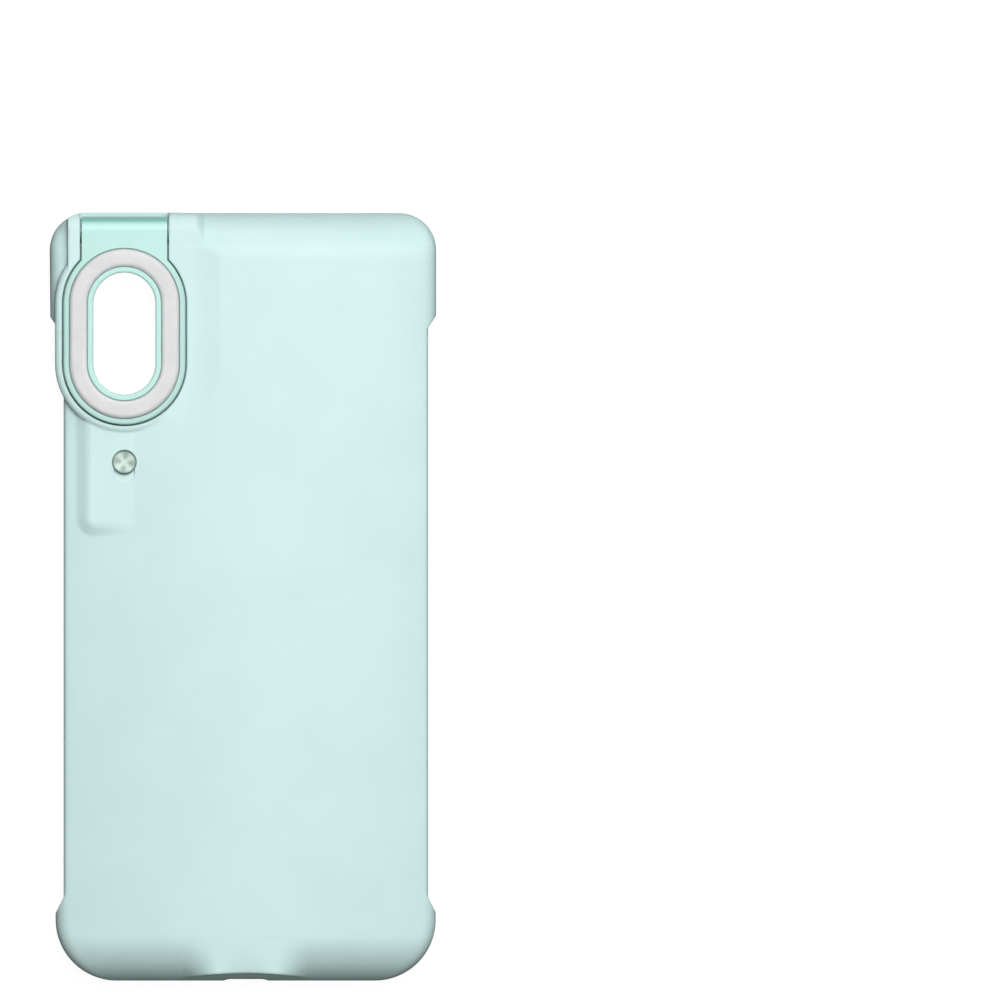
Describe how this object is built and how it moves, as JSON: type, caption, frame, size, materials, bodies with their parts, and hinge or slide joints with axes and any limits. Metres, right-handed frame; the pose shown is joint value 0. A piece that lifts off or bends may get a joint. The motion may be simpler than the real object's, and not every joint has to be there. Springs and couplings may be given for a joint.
{
  "type": "phone case with ring light",
  "caption": "Hard phone case with a domed back, a deep cap and a bumper, and a ring light on a hinge that turns from round the camera hole to above the top edge.",
  "frame": {"origin": "middle of the seat for the phone's back, on the pocket's floor", "axes": "seen from the back, +X to the right, +Y along the case to the cap, +Z out of the back"},
  "size_m": [0.0772, 0.1536, 0.015],
  "materials": {
    "mint_shell": "satin moulded",
    "mint_panel": "fine matt",
    "mint_ring": "gloss moulded",
    "opal": "milky satin",
    "spun_metal": "spun face",
    "pivot_steel": "ground",
    "washer_nylon": "turned",
    "board_green": "solder mask",
    "board_white": "solder mask",
    "lamp_yellow": "clear resin",
    "chip_black": "moulded",
    "ferrite": "sintered",
    "ceramic_tan": "fired",
    "lead_rubber": "satin",
    "cell_foil": "foil",
    "tape_grey": "foam",
    "flex_amber": "film",
    "socket_tin": "tinned"
  },
  "bodies": {
    "case": {"back_shell": "mint_shell", "inner_panel": "mint_panel", "case_lead": "lead_rubber", "hinge_pin": "pivot_steel", "hinge_tube": "pivot_steel", "hinge_washers": "washer_nylon", "tact_switch": "chip_black", "control_board": "board_green", "driver_chip": "chip_black", "charger_chip": "chip_black", "inductor": "ferrite", "capacitors": "ceramic_tan", "battery": "cell_foil", "battery_tape": "tape_grey", "battery_wires": "lead_rubber", "charge_board": "board_green", "charge_socket": "socket_tin", "socket_tongue": "chip_black", "main_flex": "flex_amber"},
    "ring": {"ring_frame": "mint_ring", "diffuser": "opal", "led_board": "board_white", "led_chips": "lamp_yellow", "ring_lead": "lead_rubber"},
    "button": {"power_button": "spun_metal", "switch_plunger": "chip_black"}
  },
  "joints": [
    {"name": "ring_flip", "type": "hinge", "parent": "case", "child": "ring", "pos_m": [-0.0243, 0.0764, 0.00295], "axis": [-1, 0, 0], "range_deg": [0, 180]},
    {"name": "button_press", "type": "slide", "parent": "case", "child": "button", "axis": [0, 0, -1], "range_m": [0, 0.0003], "stiffness_N_per_m": 2500}
  ]
}
